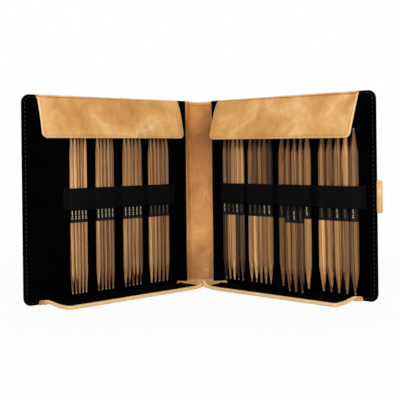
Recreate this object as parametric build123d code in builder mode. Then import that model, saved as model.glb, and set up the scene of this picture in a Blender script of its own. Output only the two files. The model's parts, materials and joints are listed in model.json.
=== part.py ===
from build123d import *
import math
import os

os.makedirs("parts", exist_ok=True)

# The case stands open on its edges like a V, with the spine at the back.
# +X is to the right, +Y away from the open side, +Z up, and the origin is the centre
# of the spine's bottom end. The folds beside the spine lie in the plane y = 0.

# Needles, one loop of five for each diameter, counted from the spine outwards
needle_length = 152.4
left_diameters = [5.0, 4.5, 4.0, 3.5]
right_diameters = [5.5, 6.0, 7.0, 8.0]
needles_in_loop = 5
needle_tip_radius = 0.7
needle_taper_base = 16.0
needle_taper_share = 1.8
needle_shoulder_radius = 30.0
needle_tip_height = 5.5
low_needle_drop = 4.4
low_needles = ["7b", "7c", "7d"]

# Cover panels
cover_width = 203.0
case_height = 192.0
cover_corner_radius = 8.0
leather_thickness = 1.2
board_thickness = 2.0
lining_thickness = 0.8
board_margin = 3.0
cover_open_angle = 44.4

# Spine and the leather strips that fold between it and the covers
spine_fold_spacing = 22.1
hinge_strip_width = 5.0
hinge_strip_thickness = 2.4
spine_board_margin = 2.0

# Elastic bands
elastic_thickness = 0.9
elastic_height = 20.8
elastic_mid_height = 94.7
elastic_end_width = 3.0
elastic_end_thickness = 1.7
left_loop_start = 31.9
right_loop_start = 17.6
left_loop_spaces = [9.2, 11.6, 10.8]
right_loop_spaces = [6.8, 9.9, 10.6]
left_needle_gaps = [0.3, 0.3, 0.3, 0.4]
right_needle_gaps = [0.3, 0.3, 0.8, 0.9]
elastic_foot = 1.9
left_elastic_head = 4.2
right_elastic_head = 0.0
left_elastic_tail = 3.5
right_elastic_tail = 3.0

# Flaps at the top and bottom edges of each cover
flap_thickness = 2.0
flap_leather_thickness = 1.2
flap_outer_margin = 15.0
flap_corner_radius = 4.5
top_flap_start = 13.0
top_flap_drop = 39.5
left_top_flap_stand_off = 7.8
right_top_flap_stand_off = 14.8
left_top_flap_bulge = 1.5
right_top_flap_bulge = 2.0
bottom_flap_start = 15.5
bottom_flap_depth = 42.0
bottom_flap_rim = 1.5
bottom_flap_root_thickness = 1.0
needle_front_clearance = 0.4
flap_meeting_line = 0.85
flap_meeting_gap = 2.1

# Closing strap and its press stud
strap_width = 30.0
strap_mid_height = 95.5
strap_thickness = 2.6
strap_edge_reach = 3.0
strap_tongue_length = 45.0
strap_corner_radius = 6.0
strap_tab_length = 1.4
snap_distance = 30.0
snap_cap_radius = 6.0
snap_cap_thickness = 1.2
snap_socket_radius = 5.0
snap_socket_thickness = 2.0
snap_shank_radius = 1.8
snap_bore_radius = 2.4
snap_bore_depth = 1.8
stud_flange_radius = 5.0
stud_flange_thickness = 0.6
stud_post_radius = 2.1
stud_post_height = 1.8

# Clearances
running_gap = 0.3
fold_gap = 0.3

# Worked-out sizes
angle = math.radians(cover_open_angle)
cover_thickness = leather_thickness + board_thickness + lining_thickness
half_cover = cover_thickness / 2
half_flap = flap_thickness / 2
half_strap = strap_thickness / 2
strip_radius = hinge_strip_thickness / 2
panel_start = strip_radius + fold_gap
spine_half_width = spine_fold_spacing / 2 - panel_start
flap_end = cover_width - flap_outer_margin
cover_fold_x = spine_fold_spacing / 2 + hinge_strip_width * math.cos(angle)
cover_fold_y = -hinge_strip_width * math.sin(angle)
closed_lining_distance = 2 * (cover_fold_x - half_cover)
needle_mid_height = needle_tip_height + needle_length / 2

LEFT = -1
RIGHT = 1
side_names = {LEFT: "left", RIGHT: "right"}
diameters = {LEFT: left_diameters, RIGHT: right_diameters}
loop_start = {LEFT: left_loop_start, RIGHT: right_loop_start}
loop_spaces = {LEFT: left_loop_spaces, RIGHT: right_loop_spaces}
needle_gaps = {LEFT: left_needle_gaps, RIGHT: right_needle_gaps}
elastic_head = {LEFT: left_elastic_head, RIGHT: right_elastic_head}
elastic_tail = {LEFT: left_elastic_tail, RIGHT: right_elastic_tail}
top_flap_stand_off = {LEFT: left_top_flap_stand_off, RIGHT: right_top_flap_stand_off}
top_flap_bulge = {LEFT: left_top_flap_bulge, RIGHT: right_top_flap_bulge}


# Frames of a cover: s runs along it from its fold, n inwards from the lining's face


def along(side):
    return Vector(side * math.cos(angle), -math.sin(angle), 0)


def inward(side):
    return Vector(-side * math.sin(angle), -math.cos(angle), 0)


def spot(side, s, n, z=0.0):
    fold = Vector(side * cover_fold_x, cover_fold_y, z)
    return fold + along(side) * s + inward(side) * (n + half_cover)


def level_plane(side, z):
    """A level plane with x along the cover and the fold at its origin."""
    return Plane(origin=spot(side, 0, 0, z), x_dir=along(side), z_dir=(0, 0, 1))


def level_point(side, s, n):
    """The point (s, n) of a cover on its level plane."""
    return (s, -side * n)


def face_plane(side, n):
    """A plane parallel to the cover, with x along it and y up."""
    return Plane(origin=spot(side, 0, n), x_dir=along(side), z_dir=inward(side) * side)


def profile_plane(side, s):
    """A plane square to the cover's length, with x inwards and y up."""
    return Plane(origin=spot(side, s, 0), x_dir=inward(side), z_dir=along(side) * -side)


def finish(piece, name):
    piece.part.label = name
    export_step(piece.part, f"parts/{name}.step")
    print(f"{name}: {piece.part.volume:.0f} mm3")


def finish_layers(layers, name):
    """Layers that are sewn together stay separate solids in one node."""
    pair = Compound(children=[layer.part for layer in layers])
    pair.label = name
    export_step(pair, f"parts/{name}.step")
    print(f"{name}: {len(pair.solids())} solids, {pair.volume:.0f} mm3")


# Needle places


def loops(side):
    """First and last needle centres of each loop, with the diameter."""
    rows = []
    edge = loop_start[side]
    for diameter, gap, space in zip(diameters[side], needle_gaps[side], loop_spaces[side] + [0.0]):
        first = edge + diameter / 2
        last = first + (needles_in_loop - 1) * (diameter + gap)
        rows.append((diameter, first, last))
        edge = last + diameter / 2 + space
    return rows


def make_needle(side, diameter, s, drop, name):
    radius = diameter / 2
    taper = needle_taper_base + needle_taper_share * radius
    half = needle_length / 2
    centre = spot(side, s, running_gap + radius, needle_mid_height - drop)
    with BuildPart() as needle:
        with BuildSketch(Plane(origin=centre, x_dir=(1, 0, 0), z_dir=(0, -1, 0))):
            with BuildLine():
                shoulder = FilletPolyline(
                    (radius, 0),
                    (radius, half - taper),
                    (needle_tip_radius, half - needle_tip_radius / 2),
                    radius=needle_shoulder_radius,
                )
                tip = Line(shoulder @ 1, (0, half))
                Line(tip @ 1, (0, 0))
                Line((0, 0), shoulder @ 0)
            make_face()
        revolve(axis=Axis(centre, (0, 0, 1)))
        mirror(about=Plane.XY.offset(centre.Z))
    finish(needle, name)


# Loops are numbered from the thinnest needles, 1, to the thickest, 8
loop_numbers = {LEFT: [4, 3, 2, 1], RIGHT: [5, 6, 7, 8]}
for side in (LEFT, RIGHT):
    for number, (diameter, first, last) in zip(loop_numbers[side], loops(side)):
        pitch = (last - first) / (needles_in_loop - 1)
        for count in range(needles_in_loop):
            short_name = f"{number}{chr(ord('a') + count)}"
            drop = low_needle_drop if short_name in low_needles else 0.0
            make_needle(side, diameter, first + count * pitch, drop, f"needle_{short_name}")


# Spine: a leather sleeve and inner strip round a stiff board

spine_board_depth = cover_thickness - 2 * leather_thickness
spine_inner_y = (leather_thickness - cover_thickness) / 2

with BuildPart() as spine_leather:
    with BuildSketch(Plane.XY):
        Rectangle(2 * spine_half_width, cover_thickness)
        with Locations((0, spine_inner_y)):
            Rectangle(2 * spine_half_width, leather_thickness, mode=Mode.SUBTRACT)
    extrude(amount=case_height)
    with BuildSketch(Plane.XY.offset(spine_board_margin)):
        Rectangle(2 * (spine_half_width - spine_board_margin), spine_board_depth)
    extrude(amount=case_height - 2 * spine_board_margin, mode=Mode.SUBTRACT)

with BuildPart() as spine_inner:
    with BuildSketch(Plane.XY):
        with Locations((0, spine_inner_y)):
            Rectangle(2 * spine_half_width, leather_thickness)
    extrude(amount=case_height)

finish_layers([spine_leather, spine_inner], "spine_leather")

with BuildPart() as spine_board:
    with BuildSketch(Plane.XY.offset(spine_board_margin)):
        Rectangle(2 * (spine_half_width - spine_board_margin), spine_board_depth)
    extrude(amount=case_height - 2 * spine_board_margin)
finish(spine_board, "spine_board")


# Folding leather strips between the spine and the covers


def make_hinge_strip(side):
    spine_fold = Vector(side * spine_fold_spacing / 2, 0, 0)
    with BuildPart() as strip:
        with BuildSketch(Plane(origin=spine_fold, x_dir=along(side), z_dir=(0, 0, 1))):
            with Locations((hinge_strip_width / 2, 0)):
                SlotOverall(hinge_strip_width + hinge_strip_thickness, hinge_strip_thickness)
        extrude(amount=case_height)
    finish(strip, f"{side_names[side]}_hinge_leather")


# Covers: outer leather with a pocket for the board, and the lining over both


def cover_outline(inset):
    """Rectangle of the panel with its two outer corners rounded."""
    width = cover_width - panel_start - 2 * inset
    height = case_height - 2 * inset
    with Locations((panel_start + inset + width / 2, case_height / 2)):
        Rectangle(width, height)
    corners = vertices().group_by(Axis.X)[-1]
    fillet(corners, cover_corner_radius - inset)


def make_cover(side):
    name = side_names[side]
    with BuildPart() as leather:
        with BuildSketch(face_plane(side, -cover_thickness)):
            cover_outline(0)
        extrude(amount=side * (cover_thickness - lining_thickness))
        with BuildSketch(face_plane(side, -lining_thickness - board_thickness)):
            cover_outline(board_margin)
        extrude(amount=side * board_thickness, mode=Mode.SUBTRACT)
        if side == RIGHT:
            tab_depth = cover_thickness - lining_thickness - board_thickness / 2
            with BuildSketch(face_plane(side, -cover_thickness)):
                with Locations((cover_width + strap_tab_length / 2 - board_margin / 2, strap_mid_height)):
                    Rectangle(strap_tab_length + board_margin, strap_width)
            extrude(amount=side * tab_depth)
    finish(leather, f"{name}_cover_leather")

    with BuildPart() as board:
        with BuildSketch(face_plane(side, -lining_thickness - board_thickness)):
            cover_outline(board_margin)
        extrude(amount=side * board_thickness)
    finish(board, f"{name}_cover_board")

    root_length = bottom_hinge(side) - half_flap - fold_gap
    with BuildPart() as lining:
        with BuildSketch(face_plane(side, -lining_thickness)):
            cover_outline(0)
        extrude(amount=side * lining_thickness)
        root_mid = (bottom_flap_start + flap_end) / 2
        with BuildSketch(face_plane(side, -lining_thickness)):
            with Locations((root_mid, bottom_flap_root_thickness / 2)):
                Rectangle(flap_end - bottom_flap_start, bottom_flap_root_thickness)
        extrude(amount=side * (lining_thickness + root_length))
    finish(lining, f"{name}_lining")


def bottom_hinge(side):
    """Distance of the bottom flap's fold from the lining, clear of the thickest needle."""
    return running_gap + max(diameters[side]) + needle_front_clearance + half_flap


# Elastic band: flat between the loops, arched over each five needles


def arch(side, first, last, radius, foot):
    """Outline of a taut band over a row of needles, down to the lining."""
    height = level_point(side, 0, radius)[1]
    start = 0 if side == LEFT else 180
    with BuildLine():
        near = CenterArc((first, height), radius, start, 180)
        far = CenterArc((last, height), radius, start, 180)
        base = Line((first - radius - foot, 0), (last + radius + foot, 0))
    make_hull([near, far, base])


def make_elastic(side):
    rows = loops(side)
    reach = running_gap + elastic_thickness + elastic_foot
    band_start = rows[0][1] - rows[0][0] / 2 - reach - elastic_head[side] - elastic_end_width
    band_end = rows[-1][2] + rows[-1][0] / 2 + reach + elastic_tail[side]
    with BuildPart() as band:
        bottom = elastic_mid_height - elastic_height / 2
        with BuildSketch(level_plane(side, bottom)):
            with Locations(level_point(side, (band_start + band_end) / 2, elastic_thickness / 2)):
                Rectangle(band_end - band_start, elastic_thickness)
            for end in (band_start + elastic_end_width / 2, band_end - elastic_end_width / 2):
                with Locations(level_point(side, end, elastic_end_thickness / 2)):
                    Rectangle(elastic_end_width, elastic_end_thickness)
        extrude(amount=elastic_height)
        for diameter, first, last in rows:
            with BuildSketch(level_plane(side, bottom)):
                arch(side, first, last, diameter / 2 + running_gap + elastic_thickness, elastic_foot)
            extrude(amount=elastic_height)
        with BuildSketch(level_plane(side, bottom)):
            depth = 2 * max(diameters[side])
            with Locations(level_point(side, (band_start + band_end) / 2, -depth / 2)):
                Rectangle(2 * (band_end - band_start), depth)
        extrude(amount=elastic_height, mode=Mode.SUBTRACT)
        for diameter, first, last in rows:
            with BuildSketch(level_plane(side, bottom)):
                arch(side, first, last, diameter / 2 + running_gap, elastic_foot)
            extrude(amount=elastic_height, mode=Mode.SUBTRACT)
    finish(band, f"{side_names[side]}_elastic_band")


# Top flap: leather and lining layers on one curve, hanging from a rolled fold


def curve_layer(start, middle, end, low, high):
    """Strip between two arcs that lie low and high beside the arc through three points."""
    ax, ay = start
    bx, by = middle
    cx, cy = end
    d = 2 * (ax * (by - cy) + bx * (cy - ay) + cx * (ay - by))
    sa, sb, sc = ax * ax + ay * ay, bx * bx + by * by, cx * cx + cy * cy
    centre = Vector(
        (sa * (by - cy) + sb * (cy - ay) + sc * (ay - by)) / d,
        (sa * (cx - bx) + sb * (ax - cx) + sc * (bx - ax)) / d,
    )
    points = []
    for share in (low, high):
        row = []
        for place in (start, middle, end):
            out = (Vector(*place) - centre).normalized()
            row.append(Vector(*place) + out * share)
        points.append(row)
    with BuildLine() as layer:
        ThreePointArc(*points[0])
        Line(points[0][2], points[1][2])
        ThreePointArc(*points[1])
        Line(points[1][0], points[0][0])
    make_face(layer.edges())


def make_top_flap(side):
    fold_n = running_gap + half_flap
    fold_z = case_height - running_gap - half_flap
    end_n = top_flap_stand_off[side]
    end_z = fold_z - top_flap_drop
    chord = Vector(end_n - fold_n, end_z - fold_z)
    bow = Vector(-chord.Y, chord.X).normalized() * top_flap_bulge[side]
    middle = ((fold_n + end_n) / 2 + bow.X, (fold_z + end_z) / 2 + bow.Y)
    length = flap_end - top_flap_start
    curve = ((fold_n, fold_z), middle, (end_n, end_z))
    split = half_flap - flap_leather_thickness
    with BuildPart() as leather:
        with BuildSketch(profile_plane(side, top_flap_start)):
            curve_layer(*curve, split, half_flap)
            with Locations((fold_n, fold_z)):
                Circle(half_flap)
        extrude(amount=-side * length)
        corners = leather.edges().filter_by(lambda edge: is_flap_corner(edge, end_z))
        fillet(corners, flap_corner_radius)
    with BuildPart() as lining:
        with BuildSketch(profile_plane(side, top_flap_start)):
            curve_layer(*curve, -half_flap, split)
            with Locations((fold_n, fold_z)):
                Circle(half_flap, mode=Mode.SUBTRACT)
        extrude(amount=-side * length)
        corners = lining.edges().filter_by(lambda edge: is_flap_corner(edge, end_z))
        fillet(corners, flap_corner_radius)
    finish_layers([leather, lining], f"{side_names[side]}_top_flap")


def is_flap_corner(edge, end_z):
    """Short straight edges through the flap at its free end."""
    short = edge.length < flap_thickness
    return edge.geom_type == GeomType.LINE and short and abs(edge.center().Z - end_z) < flap_thickness


# Bottom flap: lies on the floor, folds up in front of the needles


def bottom_flap_corner(side):
    """Where the inner front corner starts, so that it stops short of the meeting line."""
    limit = side * flap_meeting_line + flap_meeting_gap / 2
    slack = flap_corner_radius * (math.cos(angle) + math.sin(angle) - 1)
    reach = (bottom_flap_depth + half_cover) * math.sin(angle)
    return max(bottom_flap_start, (reach - slack - cover_fold_x + limit) / math.cos(angle))


def bottom_flap_outline(side, inset):
    """Flat outline from the fold to the front, with the front corners rounded."""
    hinge = bottom_hinge(side)
    front = bottom_flap_depth - inset
    corners = [
        (bottom_flap_start + inset, hinge + inset),
        (bottom_flap_corner(side) + inset, front),
        (flap_end - inset, front),
        (flap_end - inset, hinge + inset),
    ]
    with BuildLine() as outline:
        Polyline(*[level_point(side, *corner) for corner in corners], close=True)
    make_face(outline.edges())
    front = -1 if side == LEFT else 0
    fillet(vertices().group_by(Axis.Y)[front], flap_corner_radius - inset)


def make_bottom_flap(side):
    hinge = bottom_hinge(side)
    with BuildPart() as leather:
        with BuildSketch(level_plane(side, 0)):
            bottom_flap_outline(side, 0)
        extrude(amount=flap_thickness)
        with BuildSketch(profile_plane(side, bottom_flap_start)):
            with Locations((hinge, half_flap)):
                Circle(half_flap)
        extrude(amount=-side * (flap_end - bottom_flap_start))
        with BuildSketch(level_plane(side, flap_leather_thickness)):
            bottom_flap_outline(side, bottom_flap_rim)
        extrude(amount=flap_thickness - flap_leather_thickness, mode=Mode.SUBTRACT)
    with BuildPart() as lining:
        with BuildSketch(level_plane(side, flap_leather_thickness)):
            bottom_flap_outline(side, bottom_flap_rim)
        extrude(amount=flap_thickness - flap_leather_thickness)
    finish_layers([leather, lining], f"{side_names[side]}_bottom_flap")


for side in (LEFT, RIGHT):
    make_hinge_strip(side)
    make_cover(side)
    make_elastic(side)
    make_top_flap(side)
    make_bottom_flap(side)


# Strap: folded back behind the right cover, wraps round the closed case

strap_fold_s = cover_width + strap_edge_reach
strap_plate_n = -cover_thickness - running_gap - snap_cap_thickness - half_strap
snap_stand_off = stud_flange_thickness + running_gap + snap_socket_thickness
tip_fold_n = closed_lining_distance + cover_thickness + snap_stand_off + half_strap
strap_bridge_length = tip_fold_n - strap_plate_n
tip_fold_s = strap_fold_s - strap_bridge_length
snap_s = tip_fold_s - snap_distance
stud_s = strap_fold_s - snap_distance
strap_bottom = strap_mid_height - strap_width / 2

with BuildPart() as strap_bridge:
    bridge_run = strap_bridge_length - half_strap - fold_gap
    with BuildSketch(level_plane(RIGHT, strap_bottom)):
        with Locations(level_point(RIGHT, strap_fold_s, strap_plate_n)):
            Circle(half_strap)
        with Locations(level_point(RIGHT, strap_fold_s - bridge_run / 2, strap_plate_n)):
            Rectangle(bridge_run, strap_thickness)
    extrude(amount=strap_width)
finish(strap_bridge, "strap_bridge")

with BuildPart() as strap_tongue:
    with BuildSketch(level_plane(RIGHT, strap_bottom)):
        with Locations(level_point(RIGHT, tip_fold_s, strap_plate_n)):
            Circle(half_strap)
        with Locations(level_point(RIGHT, tip_fold_s - strap_tongue_length / 2, strap_plate_n)):
            Rectangle(strap_tongue_length, strap_thickness)
    extrude(amount=strap_width)
    tongue_end = tip_fold_s - strap_tongue_length
    free_edges = strap_tongue.edges().filter_by(
        lambda edge: (edge.center() - spot(RIGHT, tongue_end, strap_plate_n, strap_mid_height)).length
        < math.hypot(strap_width, strap_thickness) / 2
        and abs(edge.length - strap_thickness) < strap_thickness / 10
    )
    fillet(free_edges, strap_corner_radius)
    with BuildSketch(face_plane(RIGHT, strap_plate_n - half_strap)):
        with Locations((snap_s, strap_mid_height)):
            Circle(snap_shank_radius)
    extrude(amount=strap_thickness, mode=Mode.SUBTRACT)
finish(strap_tongue, "strap_tongue")

# Upper half of the press stud: cap, shank through the tongue, and socket
with BuildPart() as snap_socket:
    socket_face = strap_plate_n - half_strap - snap_socket_thickness
    with BuildSketch(face_plane(RIGHT, socket_face)):
        with Locations((snap_s, strap_mid_height)):
            Circle(snap_socket_radius)
    extrude(amount=snap_socket_thickness)
    with BuildSketch(face_plane(RIGHT, strap_plate_n - half_strap)):
        with Locations((snap_s, strap_mid_height)):
            Circle(snap_shank_radius)
    extrude(amount=strap_thickness)
    with BuildSketch(face_plane(RIGHT, strap_plate_n + half_strap)):
        with Locations((snap_s, strap_mid_height)):
            Circle(snap_cap_radius)
    extrude(amount=snap_cap_thickness)
    with BuildSketch(face_plane(RIGHT, socket_face)):
        with Locations((snap_s, strap_mid_height)):
            Circle(snap_bore_radius)
    extrude(amount=snap_bore_depth, mode=Mode.SUBTRACT)
finish(snap_socket, "snap_socket")

# Lower half of the press stud, on the outside of the left cover
with BuildPart() as snap_stud:
    with BuildSketch(face_plane(LEFT, -cover_thickness)):
        with Locations((stud_s, strap_mid_height)):
            Circle(stud_flange_radius)
    extrude(amount=stud_flange_thickness)
    with BuildSketch(face_plane(LEFT, -cover_thickness - stud_flange_thickness)):
        with Locations((stud_s, strap_mid_height)):
            Circle(stud_post_radius)
    extrude(amount=stud_post_height)
finish(snap_stud, "snap_stud")

print(f"closed thickness {closed_lining_distance + 2 * cover_thickness:.2f} mm")
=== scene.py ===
# %% [markdown]
# # A set of double-pointed knitting needles in its leather case
# The case is a book: two stiff covers, a spine between them, and a strap that keeps it shut.
# Each cover holds four loops of five needles under an elastic band, and a leather flap at
# its top and bottom edge keeps the needles from sliding out. The solids already have every
# true size, so this lesson only dresses them: the frame is loaded first and never moved.

# %% Load the frame
import json
import math

import bmesh
import bpy
import numpy as np
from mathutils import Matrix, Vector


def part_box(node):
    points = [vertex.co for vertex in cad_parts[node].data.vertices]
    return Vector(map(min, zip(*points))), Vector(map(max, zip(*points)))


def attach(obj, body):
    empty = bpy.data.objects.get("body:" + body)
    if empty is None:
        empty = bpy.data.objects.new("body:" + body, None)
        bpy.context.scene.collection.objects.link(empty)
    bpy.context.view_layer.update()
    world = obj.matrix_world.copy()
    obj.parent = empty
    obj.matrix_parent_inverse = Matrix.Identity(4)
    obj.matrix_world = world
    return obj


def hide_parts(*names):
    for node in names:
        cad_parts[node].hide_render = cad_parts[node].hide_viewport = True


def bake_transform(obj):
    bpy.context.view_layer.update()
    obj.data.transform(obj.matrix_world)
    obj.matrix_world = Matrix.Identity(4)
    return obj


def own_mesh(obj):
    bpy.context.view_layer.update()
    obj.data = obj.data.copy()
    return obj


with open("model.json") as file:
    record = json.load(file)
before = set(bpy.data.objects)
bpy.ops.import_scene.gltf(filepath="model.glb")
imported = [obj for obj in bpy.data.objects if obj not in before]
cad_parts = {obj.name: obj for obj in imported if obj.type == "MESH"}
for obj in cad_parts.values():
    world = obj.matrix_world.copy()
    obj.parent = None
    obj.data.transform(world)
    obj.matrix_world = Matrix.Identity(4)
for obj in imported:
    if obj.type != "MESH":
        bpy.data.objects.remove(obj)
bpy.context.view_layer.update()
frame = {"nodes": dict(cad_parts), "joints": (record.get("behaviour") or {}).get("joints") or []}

joints = {joint["name"]: joint for joint in frame["joints"]}

# %% [markdown]
# ## Places on a cover
# Everything on a cover is easiest to say as three lengths: s along it from its fold, n
# inwards from its lining and z up from the table. The joints give the fold and the
# directions, so a length here always lands where the solids have it.

# %% The frame of each cover
LEFT, RIGHT = -1, 1
SIDE_NAMES = {LEFT: "left", RIGHT: "right"}
CASE_HEIGHT = 192.0
COVER_WIDTH = 203.0
HALF_COVER = 2.0
FLAP_END = 188.0


def cover_frame(side):
    """Fold, direction along the cover and direction inwards, from the joints."""
    fold = 1000 * np.array(joints[f"{SIDE_NAMES[side]}_cover_fold"]["pos_m"])
    fold[2] = 0
    along = -side * np.array(joints[f"{SIDE_NAMES[side]}_top_flap_fold"]["axis"])
    inward = side * np.array([along[1], -along[0], 0])
    return fold, along, inward


FRAMES = {side: cover_frame(side) for side in SIDE_NAMES}


def spot(side, s, n, z):
    """Points of a cover: fold + s * along + (n + half the cover) * inward, z up, in mm."""
    s, n, z = np.broadcast_arrays(np.asarray(s, float), np.asarray(n, float), np.asarray(z, float))
    fold, along, inward = FRAMES[side]
    places = fold + s[..., None] * along + (n[..., None] + HALF_COVER) * inward
    places[..., 2] = z
    return places


for side, name in SIDE_NAMES.items():
    print(name, "cover ends at", np.round(spot(side, COVER_WIDTH, 0, 0), 1), "mm")

# %% [markdown]
# ## Turning arrays into meshes
# A shape here is an array of points, worked out all at once. Quads join neighbours on a
# grid, and one function puts points and faces into a mesh, merges the points that meet,
# turns the faces outwards and says which body of the frame carries the piece.

# %% Grids, tubes and pieces
MERGE_DISTANCE = 5e-6


def lengths_along(path):
    """How far along a path of points each of them lies."""
    return np.concatenate([[0], np.cumsum(np.linalg.norm(np.diff(path, axis=0), axis=1))])


def normals_of(path):
    """Unit normals of a flat path: its tangents, turned left by a right angle."""
    tangent = np.gradient(path, axis=0)
    tangent /= np.linalg.norm(tangent, axis=1, keepdims=True)
    return np.stack([-tangent[:, 1], tangent[:, 0]], -1)


def grid_faces(rows, columns, wrap=False, offset=0):
    """Quads between neighbours of a rows x columns grid; wrap closes each row."""
    cells = columns if wrap else columns - 1
    r, c = np.meshgrid(np.arange(rows - 1) * columns, np.arange(cells), indexing="ij")
    following = (c + 1) % columns
    quads = [r + c, r + columns + c, r + columns + following, r + following]
    return offset + np.stack(quads, axis=-1).reshape(-1, 4)


def make_piece(name, points, faces, finishes, body=None, face_finish=None, wear_and_highlight=None, smooth=40):
    """A mesh from points in mm and faces; smooth is the sharpest angle that still shades round."""
    mesh = bpy.data.meshes.new(name)
    in_metres = np.asarray(points).reshape(-1, 3) / 1000
    mesh.from_pydata(in_metres.tolist(), [], [list(face) for face in faces])
    for finish in finishes:
        mesh.materials.append(finish)
    if face_finish is not None:
        mesh.polygons.foreach_set("material_index", np.asarray(face_finish, dtype=np.int32))
    # Pales the rims: partly wear, partly a painted highlight
    if wear_and_highlight is not None:
        worn_and_lit = mesh.attributes.new("wear_and_highlight", "FLOAT", "POINT")
        worn_and_lit.data.foreach_set("value", np.asarray(wear_and_highlight, float).ravel())
    work = bmesh.new()
    work.from_mesh(mesh)
    bmesh.ops.remove_doubles(work, verts=work.verts, dist=MERGE_DISTANCE)
    bmesh.ops.dissolve_degenerate(work, edges=work.edges, dist=MERGE_DISTANCE)
    bmesh.ops.recalc_face_normals(work, faces=work.faces)
    work.to_mesh(mesh)
    work.free()
    mesh.shade_smooth()
    mesh.set_sharp_from_angle(angle=math.radians(smooth))
    piece = bpy.data.objects.new(name, mesh)
    bpy.context.scene.collection.objects.link(piece)
    if body:
        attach(piece, body)
    return piece


def tube_faces(stations, around):
    """Quads round a tube of closed loops, and one face over each end."""
    faces = grid_faces(stations, around, wrap=True).tolist()
    last = (stations - 1) * around
    return faces + [list(range(around)), list(range(last, last + around))]


# %% [markdown]
# ## Panels with rounded corners
# Covers, linings and flaps are all the same thing to a saddler: a flat cut with rounded
# corners and a worked edge. So one function makes them: rings run round the outline, each
# drawn in a little more, and meet a grid that fills the middle. What the rings' heights
# say is the edge: rolled, bound or pressed down along a seam.

# %% The panel
ARC_STEPS = 7


def outline_ring(size, corner, square, inset, us, vs):
    """Once round a rectangle, drawn in by inset.

    A corner is its centre + (corner - inset) * (cos t, sin t); in a square corner the same
    ray goes on to the square, so it is divided by the larger of |cos t| and |sin t|.
    """
    width, height = size
    turn = np.linspace(0, math.pi / 2, ARC_STEPS + 2)[1:-1]
    corners = [
        ((width - corner, corner), -math.pi / 2),
        ((width - corner, height - corner), 0.0),
        ((corner, height - corner), math.pi / 2),
        ((corner, corner), math.pi),
    ]
    sides = [
        np.stack([us, np.full_like(us, inset)], -1),
        np.stack([np.full_like(vs, width - inset), vs], -1),
        np.stack([us[::-1], np.full_like(us, height - inset)], -1),
        np.stack([np.full_like(vs, inset), vs[::-1]], -1),
    ]
    ring = []
    for straight, (centre, start), is_square in zip(sides, corners, square):
        ray = np.stack([np.cos(start + turn), np.sin(start + turn)], -1)
        if is_square:
            ray = ray / np.abs(ray).max(axis=-1, keepdims=True)
        ring += [straight, np.array(centre) + (corner - inset) * ray]
    return np.concatenate(ring)


def make_panel(name, size, corner, square, rings, counts, place, finishes, second=None, **words):
    """A closed panel. rings are (inset, height) from its face over the rim to its back.

    place(u, v, height) turns a flat place into a point, and second(u, v, height) says which
    faces have the second finish. Insets near 0 count as wear and painted highlight.
    """
    us = np.linspace(corner, size[0] - corner, counts[0])
    vs = np.linspace(corner, size[1] - corner, counts[1])
    loops = np.stack([outline_ring(size, corner, square, inset, us, vs) for inset, height in rings])
    heights = np.array([height for inset, height in rings])[:, None]
    inner_u, inner_v = np.meshgrid(us, vs, indexing="ij")
    layers = [(loops[..., 0], loops[..., 1], np.broadcast_to(heights, loops.shape[:2]))]
    layers += [(inner_u, inner_v, np.full(inner_u.shape, rings[end][1])) for end in (0, -1)]
    flat = np.concatenate([np.stack(layer, -1).reshape(-1, 3) for layer in layers])
    points = place(flat[:, 0], flat[:, 1], flat[:, 2])
    rows, around = loops.shape[:2]
    faces = np.concatenate([
        grid_faces(rows, around, wrap=True),
        grid_faces(*inner_u.shape, offset=rows * around),
        grid_faces(*inner_u.shape, offset=rows * around + inner_u.size)])
    middles = flat[faces].mean(axis=1)
    kind = second(*middles.T).astype(int) if second else np.zeros(len(faces), int)
    insets = np.array([inset for inset, height in rings])[:, None]
    # Rims near inset 0 are paler: wear, and a painted highlight where they catch the light
    wear_and_highlight = np.clip(1 - np.broadcast_to(insets, (rows, around)) / 1.5, 0, 1)
    wear_and_highlight = np.concatenate([wear_and_highlight.ravel(), np.zeros(2 * inner_u.size)])
    return make_piece(name, points, faces, finishes, face_finish=kind, wear_and_highlight=wear_and_highlight, **words)


# %% [markdown]
# ## Stitches
# A sewn seam is a row of short threads with a gap between them, each sunk at both ends.
# One thread is a small ellipsoid-like spindle of few faces, and the whole row is that
# shape repeated by array arithmetic along the seam.

# %% The seam
# Distance from stitch to stitch, length and radius of each in mm
COVER_STITCH = (4.0, 2.4, 0.24)
FLAP_STITCH = (2.3, 1.7, 0.26)
BAND_STITCH = (2.2, 1.6, 0.25)


def along_path(path, distances):
    """Points at the given distances along a path of points."""
    steps = lengths_along(path)
    return np.stack([np.interp(distances, steps, path[:, axis]) for axis in range(3)], -1)


def make_seam(name, path, up, pitch, length, radius, finish, body=None):
    """Stitches along a path: spindles of radius r * sqrt(1 - t^2); up points off the surface."""
    path, up = np.asarray(path, float), np.asarray(up, float)
    total = lengths_along(path)[-1]
    count = int(total // pitch)
    middles = (np.arange(count) + 0.5) * total / count
    start, end = along_path(path, middles - length / 2), along_path(path, middles + length / 2)
    direction = end - start
    direction /= np.linalg.norm(direction, axis=1, keepdims=True)
    share = np.interp(middles, np.linspace(0, total, len(up)), np.arange(len(up)))
    raised = up[np.round(share).astype(int)]
    across = np.cross(direction, raised)
    t = np.array([-1.0, -0.72, 0.0, 0.72, 1.0])
    swell = radius * np.sqrt(np.clip(1 - t * t, 0.02, 1))
    turn = np.arange(6) * math.pi / 3
    ahead = direction[:, None, None] * (t * length / 2)[None, :, None, None]
    cosine, sine = np.cos(turn)[:, None], np.sin(turn)[:, None]
    round_part = across[:, None, None] * cosine + raised[:, None, None] * sine
    points = (start + end)[:, None, None] / 2 + ahead + round_part * swell[None, :, None, None]
    one = tube_faces(len(t), len(turn))
    size = len(t) * len(turn)
    faces = [[index + size * number for index in face] for number in range(count) for face in one]
    seam = make_piece(name, points, faces, [finish], body, smooth=180)
    print(f"{name}: {count} stitches")
    return seam


# %% [markdown]
# ## Colours and nodes
# Colours are written as they look on a screen, and one function turns them into the
# linear values that Blender mixes with. One more adds a node with its settings and links, and
# the shader's own inputs are set in the same way.

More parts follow.
